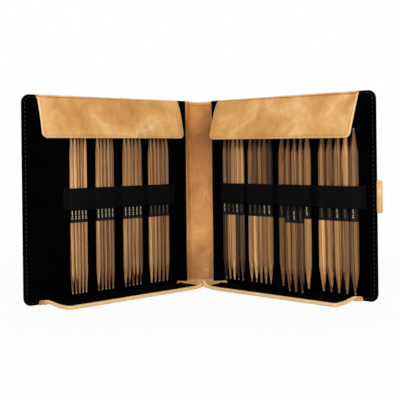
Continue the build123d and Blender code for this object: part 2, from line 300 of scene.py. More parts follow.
# %% Small helpers for materials
def linear(code):
    """An sRGB hex colour as linear red, green, blue and alpha."""
    parts = [int(code[i:i + 2], 16) / 255 for i in (1, 3, 5)]
    return [c / 12.92 if c <= 0.04045 else ((c + 0.055) / 1.055) ** 2.4 for c in parts] + [1.0]


def set_inputs(tree, node, inputs):
    """Link an input where a socket is given, or else set its value."""
    for key, value in inputs.items():
        if isinstance(value, bpy.types.NodeSocket):
            tree.links.new(value, node.inputs[key])
        else:
            node.inputs[key].default_value = value


def add_node(tree, kind, inputs=None, stops=None, **settings):
    """A node of that kind with its settings, its inputs' values or links, and a ramp's stops."""
    node = tree.nodes.new(kind)
    for key, value in settings.items():
        setattr(node, key, value)
    set_inputs(tree, node, inputs or {})
    if stops:
        ramp = node.color_ramp
        while len(ramp.elements) < len(stops):
            ramp.elements.new(0.5)
        for element, (position, code) in zip(ramp.elements, stops):
            element.position, element.color = position, linear(code)
    return node


def new_material(name):
    """An empty material with its Principled shader, and the object's coordinates in mm."""
    material = bpy.data.materials.new(name)
    material.use_nodes = True
    tree = material.node_tree
    shader = tree.nodes["Principled BSDF"]
    coordinates = add_node(tree, "ShaderNodeTexCoord").outputs["Object"]
    in_mm = add_node(tree, "ShaderNodeMapping", {
        "Vector": coordinates, "Scale": (1000, 1000, 1000)})
    return material, tree, shader, in_mm.outputs["Vector"]


# %% [markdown]
# ## Leather
# The flaps, the spine and the strap are pull-up leather: vegetable-tanned hide stuffed with
# wax, so that it pales where it is bent and darkens where it is handled. Clouds of three
# tans, 24 to 42 mm apart, and flecks of 6 mm give the mottling, the edges pale with wear
# and a painted highlight on their rims, the spine carries painted light and shade up its
# height, and the grain is a fine cell pattern. Real grain is about 0.6 mm; it is drawn at
# 0.9 mm so that it shows.

# %% Pull-up leather
def pull_up_leather(name, dark, middle, light, edge, spread=30.0, tones_and_shade_by_height=None):
    """Three tans in clouds spread mm apart and an edge tone; the tones up the case, if given, are
    painted light and shade on the leather's own tone.
    """
    material, tree, shader, place = new_material(name)
    clouds = add_node(tree, "ShaderNodeTexNoise", {
        "Vector": place, "Scale": 1 / spread, "Detail": 4.0, "Roughness": 0.55, "Distortion": 0.6})
    flecks = add_node(tree, "ShaderNodeTexNoise", {
        "Vector": place, "Scale": 1 / 6.0, "Detail": 5.0, "Roughness": 0.65, "Distortion": 0.3})
    both = add_node(tree, "ShaderNodeMath", {
        0: clouds.outputs["Fac"], 1: 0.82}, operation="MULTIPLY").outputs[0]
    mottle = add_node(tree, "ShaderNodeMath", {
        0: flecks.outputs["Fac"], 1: 0.18, 2: both}, operation="MULTIPLY_ADD").outputs[0]
    tan = add_node(tree, "ShaderNodeValToRGB", {"Fac": mottle}, stops=[
        (0.34, dark), (0.50, middle), (0.66, light)]).outputs["Color"]
    if tones_and_shade_by_height:
        # Painted light and shade in bands up the case, on the leather's own tone: the tones,
        # shifted
        # 10 mm either way by the clouds and made lighter or darker by up to 20%
        up = add_node(tree, "ShaderNodeSeparateXYZ", {"Vector": place}).outputs["Z"]
        shifted = add_node(tree, "ShaderNodeMath", {
            0: clouds.outputs["Fac"], 1: 20.0, 2: up}, operation="MULTIPLY_ADD").outputs[0]
        share = add_node(tree, "ShaderNodeMapRange", {
            "Value": shifted, "From Min": 10.0, "From Max": 10.0 + CASE_HEIGHT}).outputs[0]
        bands = add_node(tree, "ShaderNodeValToRGB", {
            "Fac": share}, stops=tones_and_shade_by_height).outputs["Color"]
        strength = add_node(tree, "ShaderNodeMapRange", {
            "Value": mottle, "From Min": 0.36, "From Max": 0.64,
            "To Min": 0.80, "To Max": 1.20}).outputs[0]
        tan = add_node(tree, "ShaderNodeVectorMath", {
            0: bands, "Scale": strength}, operation="SCALE").outputs[0]
    # Pale scuff lines: where a slow noise crosses its middle, kept only in patches
    drawn_out = add_node(tree, "ShaderNodeMapping", {
        "Vector": place, "Rotation": (0.5, 0.65, 0.3), "Scale": (1.0, 1.0, 0.3)}).outputs["Vector"]
    line = add_node(tree, "ShaderNodeTexNoise", {
        "Vector": drawn_out, "Scale": 1 / 34.0, "Detail": 2.0, "Roughness": 0.4,
        "Distortion": 0.5}).outputs["Fac"]
    off_line = add_node(tree, "ShaderNodeMath", {0: line, 1: 0.5}, operation="SUBTRACT").outputs[0]
    near_line = add_node(tree, "ShaderNodeMath", {0: off_line}, operation="ABSOLUTE").outputs[0]
    scuff = add_node(tree, "ShaderNodeMapRange", {
        "Value": near_line, "From Min": 0.0, "From Max": 0.014, "To Min": 0.55, "To Max": 0.0},
        interpolation_type="SMOOTHSTEP").outputs[0]
    patch = add_node(tree, "ShaderNodeMapRange", {
        "Value": clouds.outputs["Fac"], "From Min": 0.48, "From Max": 0.58}).outputs[0]
    scuffed = add_node(tree, "ShaderNodeMath", {
        0: scuff, 1: patch}, operation="MULTIPLY").outputs[0]
    # The rims' paling: wear on the leather's edges and a painted highlight where they catch the
    # light; with the scuffs it mixes in the edge tone
    wear_and_highlight = add_node(tree, "ShaderNodeAttribute", attribute_name="wear_and_highlight").outputs["Fac"]
    rubbed_and_lit = add_node(tree, "ShaderNodeMath", {
        0: wear_and_highlight, 1: 0.75, 2: scuffed}, operation="MULTIPLY_ADD").outputs[0]
    colour = add_node(tree, "ShaderNodeMix", {
        0: rubbed_and_lit, 6: tan, 7: linear(edge)}, data_type="RGBA").outputs[2]
    grain = add_node(tree, "ShaderNodeTexVoronoi", {
        "Vector": place, "Scale": 1 / 0.9, "Randomness": 1.0},
        feature="SMOOTH_F1").outputs["Distance"]
    creases = add_node(tree, "ShaderNodeTexNoise", {
        "Vector": place, "Scale": 1 / 4.0, "Detail": 4.0, "Roughness": 0.6}).outputs["Fac"]
    height = add_node(tree, "ShaderNodeMath", {
        0: creases, 1: 1.2, 2: grain}, operation="MULTIPLY_ADD").outputs[0]
    bump = add_node(tree, "ShaderNodeBump", {
        "Height": height, "Strength": 0.2, "Distance": 0.00025})
    polish = add_node(tree, "ShaderNodeMapRange", {
        "Value": mottle, "From Min": 0.35, "From Max": 0.65, "To Min": 0.46, "To Max": 0.60})
    set_inputs(tree, shader, {
        "Base Color": colour, "Roughness": polish.outputs[0], "Normal": bump.outputs["Normal"],
        "IOR": 1.45})
    return material


# The spine up its height: dark at its foot, palest a third of the way up, darkest at four
# fifths and paler again at its top edge. These are painted light and shade on the leather's
# own browner tone: painted shadow of the top flaps at four fifths, painted light from above
# at the top edge and painted shade of the recess between the covers.
SPINE_TONES_AND_SHADE = [
    (0.0, "#A56C3B"), (0.3, "#DE9E58"), (0.46, "#C78546"), (0.6, "#C5813F"), (0.78, "#A86929"),
    (1.0, "#C6853C")]
tan_leather = pull_up_leather(
    "pull_up_leather_tan", "#B9803F", "#D79F58", "#EBC185", "#F1CD97", 42.0)
spine_leather = pull_up_leather(
    "pull_up_leather_spine_painted_shade", "#A5652C", "#C58241", "#DB9E58", "#E3B278", 24.0, SPINE_TONES_AND_SHADE)
strap_leather = pull_up_leather("pull_up_leather_strap", "#C68F52", "#DDA662", "#EABD82", "#F0CD9C")
print("leathers:", tan_leather.name, spine_leather.name, strap_leather.name)

# %% [markdown]
# ## Black lining, elastic and threads
# The lining is black cotton twill, so dark that only its edges show. The elastic is a
# knitted rubber webbing with fine ribs along its length. The threads are bonded polyester:
# grey round the covers, tan on the leather and black on the elastic.

# %% Cloth and thread
def black_twill():
    """Cotton twill: a wave of 0.7 mm at 45 degrees stands for the diagonal of the weave."""
    material, tree, shader, place = new_material("cotton_twill_black")
    weave = add_node(tree, "ShaderNodeTexWave", {
        "Vector": place, "Scale": 1 / (0.7 * 6.3), "Distortion": 1.2, "Detail": 2.0},
        wave_type="BANDS", bands_direction="DIAGONAL").outputs["Fac"]
    fluff = add_node(tree, "ShaderNodeTexNoise", {
        "Vector": place, "Scale": 1 / 18.0, "Detail": 5.0}).outputs["Fac"]
    shade = add_node(tree, "ShaderNodeValToRGB", {"Fac": fluff}, stops=[
        (0.35, "#000000"), (0.7, "#020202")])
    bump = add_node(tree, "ShaderNodeBump", {"Height": weave, "Strength": 0.3, "Distance": 0.00012})
    set_inputs(tree, shader, {
        "Base Color": shade.outputs["Color"], "Normal": bump.outputs["Normal"],
        "Roughness": 0.95, "Specular IOR Level": 0.02})
    return material


def knitted_elastic():
    """Knitted elastic: ribs 1.3 mm apart up its height, rubbed a little grey between them."""
    material, tree, shader, place = new_material("knitted_elastic_black")
    ribs = add_node(tree, "ShaderNodeTexWave", {
        "Vector": place, "Scale": 1 / (1.3 * 6.3), "Distortion": 0.4, "Detail": 1.0},
        wave_type="BANDS", bands_direction="Z").outputs["Fac"]
    knit = add_node(tree, "ShaderNodeTexNoise", {
        "Vector": place, "Scale": 1 / 0.8, "Detail": 3.0}).outputs["Fac"]
    height = add_node(tree, "ShaderNodeMath", {
        0: knit, 1: 0.6, 2: ribs}, operation="MULTIPLY_ADD").outputs[0]
    shade = add_node(tree, "ShaderNodeValToRGB", {"Fac": knit}, stops=[
        (0.3, "#040405"), (0.75, "#0C0C0D")])
    bump = add_node(tree, "ShaderNodeBump", {"Height": height, "Strength": 0.5, "Distance": 0.0002})
    set_inputs(tree, shader, {
        "Base Color": shade.outputs["Color"], "Normal": bump.outputs["Normal"],
        "Roughness": 0.85, "Specular IOR Level": 0.06})
    return material


def one_noise(name, spacing, detail, stops, bump=None, **values):
    """A material whose tones come from one noise, spacing mm apart.

    bump is (strength, distance in m) for the same noise, and values are other shader inputs.
    """
    material, tree, shader, place = new_material(name)
    noise = add_node(tree, "ShaderNodeTexNoise", {
        "Vector": place, "Scale": 1 / spacing, "Detail": detail}).outputs["Fac"]
    shade = add_node(tree, "ShaderNodeValToRGB", {"Fac": noise}, stops=stops)
    set_inputs(tree, shader, {"Base Color": shade.outputs["Color"], **values})
    if bump:
        dents = add_node(tree, "ShaderNodeBump", {
            "Height": noise, "Strength": bump[0], "Distance": bump[1]})
        set_inputs(tree, shader, {"Normal": dents.outputs["Normal"]})
    return material


black_lining = black_twill()
elastic_webbing = knitted_elastic()
# Two close tones in a fine twist, with a soft shine
grey_thread, tan_thread, black_thread = [
    one_noise(f"bonded_thread_{tone}", 1.5, 2.0, [(0.3, dark), (0.7, light)], (0.3, 0.0001),
              Roughness=0.5)
    for tone, dark, light in (
        ("grey", "#171718", "#363638"), ("tan", "#A06A36", "#BE8549"),
        ("black", "#1A1A1A", "#303030"))]
print("cloth and threads made")

# %% [markdown]
# ## Cardboard and aged brass
# The boards inside the covers only show at their edges, if at all, but they are grey board
# with its fibres. The press stud is brass that was chemically darkened, then rubbed bright.

# %% Board and brass
def aged_brass():
    """Brass with a brown patina in patches of 2.5 mm, smoother where it is rubbed bright."""
    material, tree, shader, place = new_material("aged_brass")
    patina = add_node(tree, "ShaderNodeTexNoise", {
        "Vector": place, "Scale": 1 / 2.5, "Detail": 5.0}).outputs["Fac"]
    shade = add_node(tree, "ShaderNodeValToRGB", {"Fac": patina}, stops=[
        (0.35, "#8C6B3A"), (0.65, "#C9A766")])
    rough = add_node(tree, "ShaderNodeMapRange", {"Value": patina, "To Min": 0.42, "To Max": 0.25})
    set_inputs(tree, shader, {
        "Base Color": shade.outputs["Color"], "Roughness": rough.outputs[0], "Metallic": 1.0})
    return material


cover_board = one_noise("grey_board", 1.5, 6.0, [(0.3, "#857F76"), (0.7, "#A49C90")],
                        (0.3, 0.0002), Roughness=0.9)
brass = aged_brass()
print("board and brass made")

# %% [markdown]
# ## The outside of the covers
# The outer leather lies flat on the board and is skived thin where the black binding
# covers its edge. Seen from behind it is nearly all there is, so it gets a whole closed
# shell with its turned-in lips, not a plate.

# %% Cover leather and lining
PANEL_START = 1.5
COVER_SIZE = (COVER_WIDTH - PANEL_START, CASE_HEIGHT)
COVER_CORNER = 8.0
SPINE_SIDE_SQUARE = (False, False, True, True)
SHELL_RINGS = [
    (8.0, 0.0), (3.4, 0.0), (2.6, 0.1), (2.0, 0.4), (1.3, 1.0), (1.0, 2.0), (1.3, 2.9),
    (3.0, 3.1), (3.0, 1.2), (8.0, 1.2)]
# The lining's cloth, from its middle over the rounded edge to a narrow turn at the back,
# and back under itself; the dip at 2.6 mm is where the seam pulls it down
LINING_RINGS = [
    (8.0, 0.0), (3.6, 0.0), (3.1, -0.12), (2.6, -0.3), (2.1, -0.12), (1.7, 0.0), (1.2, -0.12),
    (0.65, -0.45), (0.18, -1.2), (0.0, -2.0), (0.18, -2.8), (0.7, -3.55), (1.5, -4.0),
    (2.4, -4.12), (2.8, -3.98), (2.4, -3.8), (1.6, -3.3), (0.9, -2.7), (0.75, -2.0),
    (1.1, -1.15), (3.0, -0.8), (8.0, -0.8)]


def make_cover(side):
    """The outer leather's shell and the lining's cloth, each a closed panel."""
    name = SIDE_NAMES[side]
    shell = make_panel(
        f"{name}_cover_shell", COVER_SIZE, COVER_CORNER, SPINE_SIDE_SQUARE, SHELL_RINGS, (24, 22),
        lambda u, v, h: spot(side, PANEL_START + u, h - 2 * HALF_COVER, v),
        [tan_leather], body=f"{name}_cover")
    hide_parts(f"{name}_cover_leather")
    lining = make_panel(
        f"{name}_lining_cloth", COVER_SIZE, COVER_CORNER, SPINE_SIDE_SQUARE, LINING_RINGS, (24, 22),
        lambda u, v, h: spot(side, PANEL_START + u, h, v),
        [black_lining], body=f"{name}_cover")
    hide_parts(f"{name}_lining")
    print(f"{name} cover: {len(shell.data.polygons)} + {len(lining.data.polygons)} faces")


SEAM_INSET = 2.6


def make_cover_seams(side):
    """A row of grey stitches inside the cover's outline and one on its leather.

    The inner row is open at the bottom flap and, on the right, under the lap at the fold.
    """
    name = SIDE_NAMES[side]
    sides = np.linspace(COVER_CORNER, COVER_SIZE[0] - COVER_CORNER, 60)
    ends = np.linspace(COVER_CORNER, COVER_SIZE[1] - COVER_CORNER, 60)
    ring = outline_ring(COVER_SIZE, COVER_CORNER, SPINE_SIDE_SQUARE, SEAM_INSET, sides, ends)
    closed = np.concatenate([ring, ring[:1]])
    at_lap = len(ends) + ARC_STEPS if side == RIGHT else 0
    beside_flap = closed[int(np.searchsorted(sides, FLAP_END - PANEL_START)):len(ring) - at_lap]
    inward = FRAMES[side][2]
    for label, n, up, row in (
            ("inner", -0.18, inward, beside_flap), ("outer", -2 * HALF_COVER, -inward, closed)):
        path = spot(side, PANEL_START + row[:, 0], n, row[:, 1])
        seam = make_seam(f"{name}_{label}_seam", path, np.tile(up, (len(path), 1)), *COVER_STITCH,
                         grey_thread, f"{name}_cover")


for side in SIDE_NAMES:
    make_cover(side)
    make_cover_seams(side)
    frame["nodes"][f"{SIDE_NAMES[side]}_cover_board"].material_slots[0].material = cover_board
frame["nodes"]["spine_board"].material_slots[0].material = cover_board

# %% [markdown]
# ## The spine and its folds
# Spine and folds are one leather strip with a lining strip behind it. It has to bend at
# four folds, so it is cut where it is flat: a middle on the spine, and on each side two
# short pieces that each lie across one joint. Their cross-section is one formula, so
# the cuts don't show.

# %% One strip, cut at its flat places
SPINE_FLAT = 8.0
HEM_WIDTH = 3.2
FOOT_ROLL = 5.0
# Heights up the strip with how far its inner face stands out there: the hems are doubled
STRIP_HEIGHTS = np.array([0.0, 0.25, 0.9, 2.0, HEM_WIDTH, HEM_WIDTH + 0.35, 6, 20, 40, 60, 80, 96])
STRIP_HEIGHTS = np.concatenate([STRIP_HEIGHTS, CASE_HEIGHT - STRIP_HEIGHTS[-2::-1]])


def strip_section(half, hem=0.45):
    """Loop of (depth, height): up the outside at +half, down the inside at -(half + hem).

    Near the ends the depth falls as sqrt(1 - (1 - h / 0.9)^2), a rounded edge.
    """
    from_end = np.minimum(STRIP_HEIGHTS, CASE_HEIGHT - STRIP_HEIGHTS)
    rounding = np.sqrt(np.clip(1 - (1 - np.minimum(from_end, 0.9) / 0.9) ** 2, 0.05, 1))
    doubled = np.where(from_end <= HEM_WIDTH, hem, 0.0)
    outside = np.asarray(half)[:, None] * rounding
    inside = -(np.asarray(half)[:, None] + doubled) * rounding
    depths = np.concatenate([outside, inside[:, ::-1]], axis=1)
    heights = np.concatenate([STRIP_HEIGHTS, STRIP_HEIGHTS[::-1]])
    return depths, heights


def make_strip(name, path, half, finishes, black_inside=False, body=None):
    """The strip along a path of (x, y) points with half its thickness at each.

    black_inside gives its inner face and its far end the second finish.
    """
    path = np.asarray(path, float)
    outwards = normals_of(path)
    outwards *= np.sign(outwards[:, 1:2])
    depths, heights = strip_section(half)
    flat = path[:, None] + outwards[:, None] * depths[..., None]
    # The top edge dips by 1.1 mm in the middle
    dip = 1.1 * np.clip(1 - (path[:, 0] / 14) ** 2, 0, 1)[:, None]
    dip = dip * np.clip((heights - 150) / 42, 0, 1)
    # The foot of the inner face rolls forward in the middle of the spine, fading over 5 mm
    roll = np.clip(1 - (path[:, 0] / SPINE_FLAT) ** 2, 0, 1)[:, None] * np.exp(-heights / 5)
    flat[..., 1] -= FOOT_ROLL * roll * (depths < 0)
    points = np.concatenate([flat, (heights - dip)[..., None]], axis=-1)
    faces = tube_faces(*depths.shape)
    inside = np.arange(depths.shape[1]) >= len(STRIP_HEIGHTS) - 1
    kind = np.concatenate([np.tile(inside, len(path) - 1), [False, True]]) & black_inside
    from_end = np.minimum(heights, CASE_HEIGHT - heights)
    # Paler towards the ends: wear on the hems, and a painted highlight on their rounded edges
    wear_and_highlight = np.tile(np.clip(1 - from_end / HEM_WIDTH, 0, 1) ** 0.5 * 0.8, (len(path), 1))
    return make_piece(name, points, faces, finishes, body, face_finish=kind, wear_and_highlight=wear_and_highlight, smooth=35)


spine_path = np.stack([np.linspace(-SPINE_FLAT, SPINE_FLAT, 17), np.zeros(17)], -1)
spine = make_strip("spine_sleeve", spine_path, np.full(17, 2.0), [spine_leather], body="spine")
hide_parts("spine_leather")
print("spine sleeve:", len(spine.data.polygons), "faces")


# %% [markdown]
# The two bending pieces on each side overlap nothing: the first goes from the spine's flat
# to the middle of the narrow strip, the second from there on to the cover, where it laps
# over the lining's edge. On the right the lining's cloth comes back over that lap.

# %% The four bending pieces
def fold_path(side):
    """Spine's flat, a turn of 4 mm radius about the spine fold, then on to the cover.

    The turn is the circle that touches both straights: centre = fold + (0, -r) shifted
    by r * tan(half the turn), swept over the turn.
    """
    spine_fold = 1000 * np.array(joints[f"{SIDE_NAMES[side]}_spine_fold"]["pos_m"])[:2]
    along = FRAMES[side][1][:2]
    turn = math.acos(side * along[0])
    radius = 4.0
    reach = radius * math.tan(turn / 2)
    sweep = np.linspace(0, turn, 9)
    centre = spine_fold + np.array([-side * reach, -radius])
    arc = centre + radius * np.stack([side * np.sin(sweep), np.cos(sweep)], -1)
    return spine_fold, along, arc


def make_folds(side):
    """Two strips: across the spine's fold, and across the cover's fold over the lining's edge."""
    name = SIDE_NAMES[side]
    spine_fold, along, arc = fold_path(side)
    cover_fold = FRAMES[side][0][:2]
    middle = (spine_fold + cover_fold) / 2
    flat = np.stack([side * np.linspace(SPINE_FLAT, abs(arc[0, 0]) - 0.2, 3), np.zeros(3)], -1)
    first = np.concatenate([flat, arc, [middle]])
    share = np.linspace(0, 1, len(first))
    half = 2.0 - 0.75 * share ** 2 * (3 - 2 * share)
    near = make_strip(f"{name}_spine_bend", first, half, [spine_leather])
    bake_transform(near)
    stations = np.array([0, 0.9, 1.7, 2.3, 2.9, 3.5, 4.1, 4.7, 5.3, 5.7, 6.0])
    half = np.interp(
        stations, [0, 2.3, 3.6, 4.2, 5.6, 5.9, 6.0], [1.25, 1.3, 2.2, 2.6, 2.62, 2.3, 2.05])
    second = middle + along * stations[:, None]
    far = make_strip(
        f"{name}_cover_bend", second, half, [spine_leather, black_lining], side == RIGHT)
    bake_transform(far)
    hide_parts(f"{name}_hinge_leather")
    print(f"{name} folds: {len(near.data.polygons)} + {len(far.data.polygons)} faces")


for side in SIDE_NAMES:
    make_folds(side)

# %% [markdown]
# ## Top flaps
# A top flap hangs from a rolled fold at the cover's edge and stands off over the needle
# tips. Its shape is a profile that changes along the cover: the stand-off at a drop d is
# n = n0 + a * sqrt(d) + b * d, with its own a and b at each end, so the root of d makes
# the roll. It is a little wavy, as hide is. When the case shuts, the flap is pressed
# flatter between the covers.

# %% Flap profiles
FLAP_LENGTH = 175.0
FLAP_ARC = 42.5
FLAP_DROP = {LEFT: (39.4, 39.4), RIGHT: (41.0, 42.4)}
# s of both ends, under the fold and at the flap's lower edge
FLAP_ENDS = {LEFT: ((18.2, 189.3), (16.0, 188.0)), RIGHT: ((10.8, 186.6), (11.0, 187.0))}
# n0, a and b at the flap's end near the spine and at its outer end
TOP_PROFILES = {
    LEFT: ((1.9, 1.98, -0.05), (1.9, 1.0, 0.06)),
    RIGHT: ((1.9, 1.9, 0.09), (1.5, 0.45, 0.33)),
}


def top_profile(side, end, w, length):
    """(n, z) of one end's profile at w mm of arc: the drop is sampled, measured and looked up."""
    n0, a, b = TOP_PROFILES[side][end]
    drop = FLAP_DROP[side][end] * np.linspace(0, 1, 400) ** 2
    n, z = n0 + a * np.sqrt(drop) + b * drop, CASE_HEIGHT - 0.3 - drop
    arc = lengths_along(np.stack([n, z], -1))
    at = np.asarray(w) / length * arc[-1]
    return np.interp(at, arc, n), np.interp(at, arc, z)


def along_flap(side, u, lowered):
    """s at u mm along the flap, where lowered is 0 at its fold and 1 at its edge."""
    (start, end), (low_start, low_end) = FLAP_ENDS[side]
    first, last = start + (low_start - start) * lowered, end + (low_end - end) * lowered
    return first + (last - first) * u / FLAP_LENGTH


def place_top_flap(side, u, w, h):
    """u along the flap, w down it from the fold, h out of its face."""
    share = np.clip(u / FLAP_LENGTH, 0, 1)
    step = 0.05
    inner = [top_profile(side, 0, w + d, FLAP_ARC) for d in (0, step)]
    outer = [top_profile(side, 1, w + d, FLAP_ARC) for d in (0, step)]
    n, z = [(1 - share) * i + share * o for i, o in zip(inner[0], outer[0])]
    n2, z2 = [(1 - share) * i + share * o for i, o in zip(inner[1], outer[1])]
    slope = np.hypot(n2 - n, z2 - z)
    slope = np.where(slope < 1e-9, 1, slope)
    down = np.where(w + step <= FLAP_ARC, (z2 - z) / slope, -1.0)
    out = np.where(w + step <= FLAP_ARC, (n2 - n) / slope, 0.2)
    lowered = np.clip(w / FLAP_ARC, 0, 1)
    wave = lowered * (0.45 * np.sin(u / 17 + side) + 0.3 * np.sin(u / 7.3 + 2 * side))
    return spot(side, along_flap(side, u, lowered), n + wave - down * h, z + out * h)


# %% The top flap itself
FLAP_CORNER = 5.0
# mm of arc under the fold; the left flap turns up by 165 degrees and has to clear its lining
TOP_START = {LEFT: 2.2, RIGHT: 1.2}
FLAP_RINGS = [
    (5.0, 0.0), (2.6, 0.02), (1.95, -0.16), (1.4, 0.0), (0.8, -0.06), (0.3, -0.4),
    (0.05, -0.85), (0.0, -1.2), (0.05, -1.55), (0.3, -2.0), (0.8, -2.34), (1.95, -2.4),
    (5.0, -2.4)]


def make_top_flap(side):
    """The leather from just under the fold down, and its seam."""
    name = SIDE_NAMES[side]
    top = TOP_START[side]
    size = (FLAP_LENGTH, FLAP_ARC - top)
    flap = make_panel(
        f"{name}_top_flap_leather", size, FLAP_CORNER, (True, False, False, True), FLAP_RINGS,
        (60, 16), lambda u, v, h: place_top_flap(side, u, v + top, h),
        [tan_leather, black_lining], lambda u, v, h: h < -2.2, body=f"{name}_top_flap")
    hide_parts(f"{name}_top_flap")
    inset = 1.95
    low, far = FLAP_ARC - inset, FLAP_LENGTH - inset
    down = np.linspace(4, FLAP_ARC - FLAP_CORNER, 20)
    along = np.linspace(FLAP_CORNER, FLAP_LENGTH - FLAP_CORNER, 80)
    ring = np.concatenate([
        np.stack([np.full(20, inset), down], -1), [[inset + 0.9, low - 0.9]],
        np.stack([along, np.full(80, low)], -1), [[far - 0.9, low - 0.9]],
        np.stack([np.full(20, far), down[::-1]], -1)])
    path = place_top_flap(side, ring[:, 0], ring[:, 1], np.full(len(ring), -0.02))
    above = place_top_flap(side, ring[:, 0], ring[:, 1], np.full(len(ring), 1.0)) - path
    above /= np.linalg.norm(above, axis=1, keepdims=True)
    seam = make_seam(f"{name}_top_flap_seam", path, above, *FLAP_STITCH, tan_thread,
                     f"{name}_top_flap")
    inward, anchor = FRAMES[side][2], spot(side, 0, 0, 0) / 1000
    for piece in (flap, seam):
        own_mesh(piece)
    print(f"{name} top flap: {len(flap.data.polygons)} faces")


def make_top_bridge(side):
    """The rolled fold, from inside the cover's top edge over to the flap, across the joint."""
    name = SIDE_NAMES[side]
    us = np.linspace(0.6, FLAP_LENGTH - 0.6, 40)
    pivot = 1000 * np.array(joints[f"{name}_top_flap_fold"]["pos_m"])
    fold_n = float((pivot - FRAMES[side][0]) @ FRAMES[side][2]) - HALF_COVER
    # Loop of (n, z): a closed strap section that starts in the cover and ends in the flap
    outer = np.array([
        (-2.4, 188.5), (-2.2, 190.6), (-1.2, 191.7), (0.4, 192.0), (fold_n + 0.6, 191.9),
        (3.1, 191.3), (4.3, 190.2)])
    inner = np.array([(3.2, 189.6), (2.2, 189.6), (1.2, 189.4), (0.2, 189.2), (-0.9, 188.8)])
    loop = np.concatenate([outer, inner])
    points = spot(side, along_flap(side, us, 0)[:, None], loop[None, :, 0], loop[None, :, 1])
    bridge = make_piece(
        f"{name}_top_fold", points, tube_faces(len(us), len(loop)), [tan_leather], smooth=60)
    start, end = [spot(side, 0, fold_n + step, 190.7) / 1000 for step in (-1.6, 1.6)]
    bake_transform(bridge)
    print(f"{name} top fold at n = {fold_n:.2f} mm")


for side in SIDE_NAMES:
    make_top_flap(side)
    make_top_bridge(side)

# %% [markdown]
# ## Bottom flaps
# A bottom flap lies on the table in front of the needles: black inside, with the leather
# from below rolled up over its edge as a thick lip. It has been pressed into shape by
# use, so its outer side humps up off the table. Folded up in the shut case it lies on the
# needles, which press its lip flat.

# %% The bottom flap
BOTTOM_START = 15.5
BOTTOM_DEPTH = 43.0
BOTTOM_CORNER = 4.0
HINGE_N = {}
for side, name in SIDE_NAMES.items():
    away = 1000 * np.array(joints[f"{name}_bottom_flap_fold"]["pos_m"]) - FRAMES[side][0]
    HINGE_N[side] = float(away @ FRAMES[side][2]) - HALF_COVER
# s of both front corners: the inner ones meet in front of the spine
INNER_CORNER = {LEFT: 19.0, RIGHT: 26.2}
OUTER_CORNER = {LEFT: 185.0, RIGHT: 188.5}
LIP_TOP = 3.6
LIP_RINGS = [
    (4.0, 2.0), (3.2, 2.04), (2.5, 2.4), (2.0, 3.0), (1.7, 3.35), (1.3, LIP_TOP), (0.8, 3.56),
    (0.3, 3.2), (0.05, 2.7), (0.0, 2.0), (0.1, 1.2), (0.4, 0.5), (1.0, 0.1), (2.0, 0.0),
    (4.0, 0.0)]


def hump_height(s, n):
    """A bell at n = 13 that fades from the outer side.

    Its height is 2.5 exp(-((n - 13) / 11)^2) exp(-(end - s) / 16).
    """
    return 2.5 * np.exp(-((n - 13) / 11) ** 2) * np.exp(-(FLAP_END - s) / 16)


def place_bottom_flap(side, u, v, h):
    """u, v in mm along and across the flap, h up from the table over the hump.

    The lip is what stands over h = 2, so it alone is raised or faded.
    """
    n = HINGE_N[side] + v
    share = np.clip(v / (BOTTOM_DEPTH - HINGE_N[side]), 0, 1)
    start = BOTTOM_START + (INNER_CORNER[side] - BOTTOM_START) * share
    end = FLAP_END + (OUTER_CORNER[side] - FLAP_END) * share
    length = FLAP_END - BOTTOM_START
    s = start + u / length * (end - start)
    beside = np.clip((3.6 - np.minimum(u, length - u)) / 1.2, 0, 1)
    # In front of the spine the corner lies 1.5 mm off the table and its lip is over twice as high
    raised = 1 + (1.6 * np.minimum(share / 0.6, 1) - 0.1) * np.exp(-(u / 4.5) ** 2)
    lifted = 1.5 * share ** 2 * np.exp(-(u / 9) ** 2)
    lip = np.maximum(beside, np.clip(v / 4, 0, 1)) * raised
    return spot(side, s, n, lifted + hump_height(s, n) + np.where(h > 2, 2 + (h - 2) * lip, h))


def is_lip(side, u, v, h):
    """Leather below and over the lip, but not along the root, where the lining goes on.

    The way to the edge round the outer corner of radius r is r - sqrt(a^2 + b^2), with a
    and b how far the place is past the corner's centre; at the right flap's square one it is
    the least.
    """
    length, depth = FLAP_END - BOTTOM_START, BOTTOM_DEPTH - HINGE_N[side]
    a = np.maximum(BOTTOM_CORNER - np.minimum(u, length - u), 0)
    b = np.maximum(BOTTOM_CORNER - (depth - v), 0)
    is_square = (u < length / 2) & (side == RIGHT)
    to_edge = BOTTOM_CORNER - np.where(is_square, np.maximum(a, b), np.hypot(a, b))
    return (h < 1.6) | (to_edge < np.where(u < 6, 3.1, 1.95))


def make_bottom_flap(side):
    """The flap from its hinge line forwards; the left one's inner corner is rounded."""
    name = SIDE_NAMES[side]
    size = (FLAP_END - BOTTOM_START, BOTTOM_DEPTH - HINGE_N[side])
    flap = make_panel(
        f"{name}_bottom_flap_leather", size, BOTTOM_CORNER, (True, False, side == RIGHT, True),
        LIP_RINGS, (50, 14),
        lambda u, v, h: place_bottom_flap(side, u, v, h), [black_lining, tan_leather],
        lambda u, v, h: is_lip(side, u, v, h), body=f"{name}_bottom_flap")
    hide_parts(f"{name}_bottom_flap")
    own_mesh(flap)
    print(f"{name} bottom flap: {len(flap.data.polygons)} faces")


